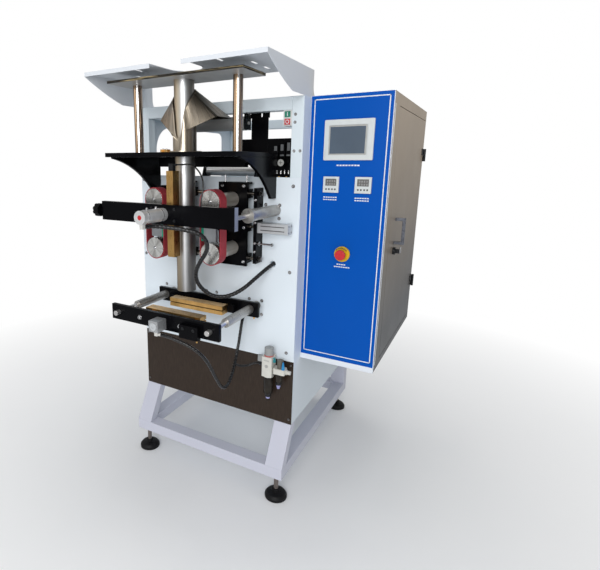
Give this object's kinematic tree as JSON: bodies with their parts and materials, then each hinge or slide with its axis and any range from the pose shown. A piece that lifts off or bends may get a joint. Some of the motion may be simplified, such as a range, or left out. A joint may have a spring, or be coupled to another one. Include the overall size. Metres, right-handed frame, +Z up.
{
  "type": "vertical form-fill-seal packaging machine",
  "caption": "Upright bagging machine on a welded base: forming collar on a filling tube, film belts, brass sealing bar and jaws, and a control cabinet with a door.",
  "frame": {"origin": "on the floor, at the middle of the machine's box", "axes": "+Z up, +Y to the machine's back, +X to the side with the control cabinet"},
  "size_m": [1.13, 1.356, 1.76],
  "materials": {
    "white_paint": "satin powder coat",
    "brown_gloss": "dark gloss",
    "black_paint": "satin black",
    "black_rubber": "matte",
    "plate_bronze": "dark, gold edge",
    "chrome": "polished",
    "stainless": "brushed",
    "brass": "machined",
    "aluminium": "turned",
    "belt_red": "matte",
    "roller_grey": "satin",
    "blue_film": "satin film",
    "cabinet_beige": "satin",
    "black_plastic": "satin",
    "grey_plastic": "light bezels, dark displays",
    "switch_white": "satin, green and red buttons",
    "yellow_plastic": "gloss",
    "red_plastic": "gloss",
    "air_unit_white": "satin",
    "hose_black": "satin"
  },
  "bodies": {
    "machine": {"base_rails": "white_paint", "base_legs": "white_paint", "levelling_feet": "black_rubber", "columns": "white_paint", "cross_rails": "white_paint", "side_rails": "white_paint", "bottom_plate": "white_paint", "front_panel": "white_paint", "lower_panel": "brown_gloss", "side_panels": "white_paint", "rear_panel": "white_paint", "canopy": "white_paint", "top_plate": "plate_bronze", "plate_posts": "chrome", "forming_tube": "stainless", "forming_collar": "stainless", "support_plate": "black_paint", "support_brackets": "black_paint", "rod_end_plates": "black_paint", "belt_guide_rods": "chrome", "air_cylinders": "aluminium", "seal_arm": "black_paint", "seal_arm_support": "chrome", "jaw_sleeves": "stainless", "cabinet_front": "blue_film", "cabinet_rear": "cabinet_beige", "cabinet_left": "cabinet_beige", "cabinet_caps": "cabinet_beige", "cabinet_door_frame": "cabinet_beige", "hinge_pins": "black_plastic", "cabinet_instruments": "grey_plastic", "estop_base": "yellow_plastic", "roller_brackets": "black_paint", "hanger_plate": "black_paint", "valve_panel": "black_paint", "mains_switch": "switch_white", "air_service_unit": "air_unit_white", "seal_hose": "hose_black", "jaw_hose": "hose_black", "feed_hose": "hose_black"},
    "cabinet_door": {"cabinet_door": "cabinet_beige", "hinge_leaves": "black_plastic", "door_handle": "black_plastic"},
    "right_belt_unit": {"right_pulleys": "aluminium", "right_belt": "belt_red", "right_carriage": "black_paint"},
    "left_belt_unit": {"left_pulleys": "aluminium", "left_belt": "belt_red", "left_carriage": "black_paint"},
    "seal_slide": {"seal_bar": "brass", "seal_cable": "hose_black"},
    "front_jaw_unit": {"front_jaw_plate": "black_paint", "front_jaw": "brass", "jaw_shafts": "chrome", "knife_cylinder": "aluminium"},
    "rear_jaw_unit": {"rear_jaw_plate": "black_paint", "rear_jaw": "brass"},
    "stop_button": {"estop_button": "red_plastic"},
    "film_roller": {"guide_roller": "roller_grey"},
    "low_film_roller": {"lower_roller": "chrome"}
  },
  "joints": [
    {"name": "door_hinge", "type": "hinge", "parent": "machine", "child": "cabinet_door", "pos_m": [0.533, 0.669, 1.46], "axis": [0, 0, 1], "range_deg": [0, 110]},
    {"name": "front_jaw_slide", "type": "slide", "parent": "machine", "child": "front_jaw_unit", "axis": [0, 1, 0], "range_m": [0, 0.056]},
    {"name": "rear_jaw_slide", "type": "slide", "parent": "machine", "child": "rear_jaw_unit", "axis": [0, -1, 0], "range_m": [0, 0.056]},
    {"name": "right_belt_slide", "type": "slide", "parent": "machine", "child": "right_belt_unit", "axis": [-1, 0, 0], "range_m": [0, 0.042]},
    {"name": "left_belt_slide", "type": "slide", "parent": "machine", "child": "left_belt_unit", "axis": [1, 0, 0], "range_m": [0, 0.042]},
    {"name": "seal_bar_slide", "type": "slide", "parent": "machine", "child": "seal_slide", "axis": [0, 1, 0], "range_m": [0, 0.018]},
    {"name": "stop_press", "type": "slide", "parent": "machine", "child": "stop_button", "axis": [0, 1, 0], "range_m": [0, 0.005]},
    {"name": "roller_spin", "type": "hinge", "parent": "machine", "child": "film_roller", "pos_m": [-0.165, -0.152, 1.577], "axis": [1, 0, 0], "continuous": true},
    {"name": "low_roller_spin", "type": "hinge", "parent": "machine", "child": "low_film_roller", "pos_m": [-0.165, -0.042, 1.384], "axis": [1, 0, 0], "continuous": true}
  ],
  "couplings": [
    {"joint": "rear_jaw_slide", "follows": "front_jaw_slide", "ratio": 1},
    {"joint": "left_belt_slide", "follows": "right_belt_slide", "ratio": 1}
  ]
}
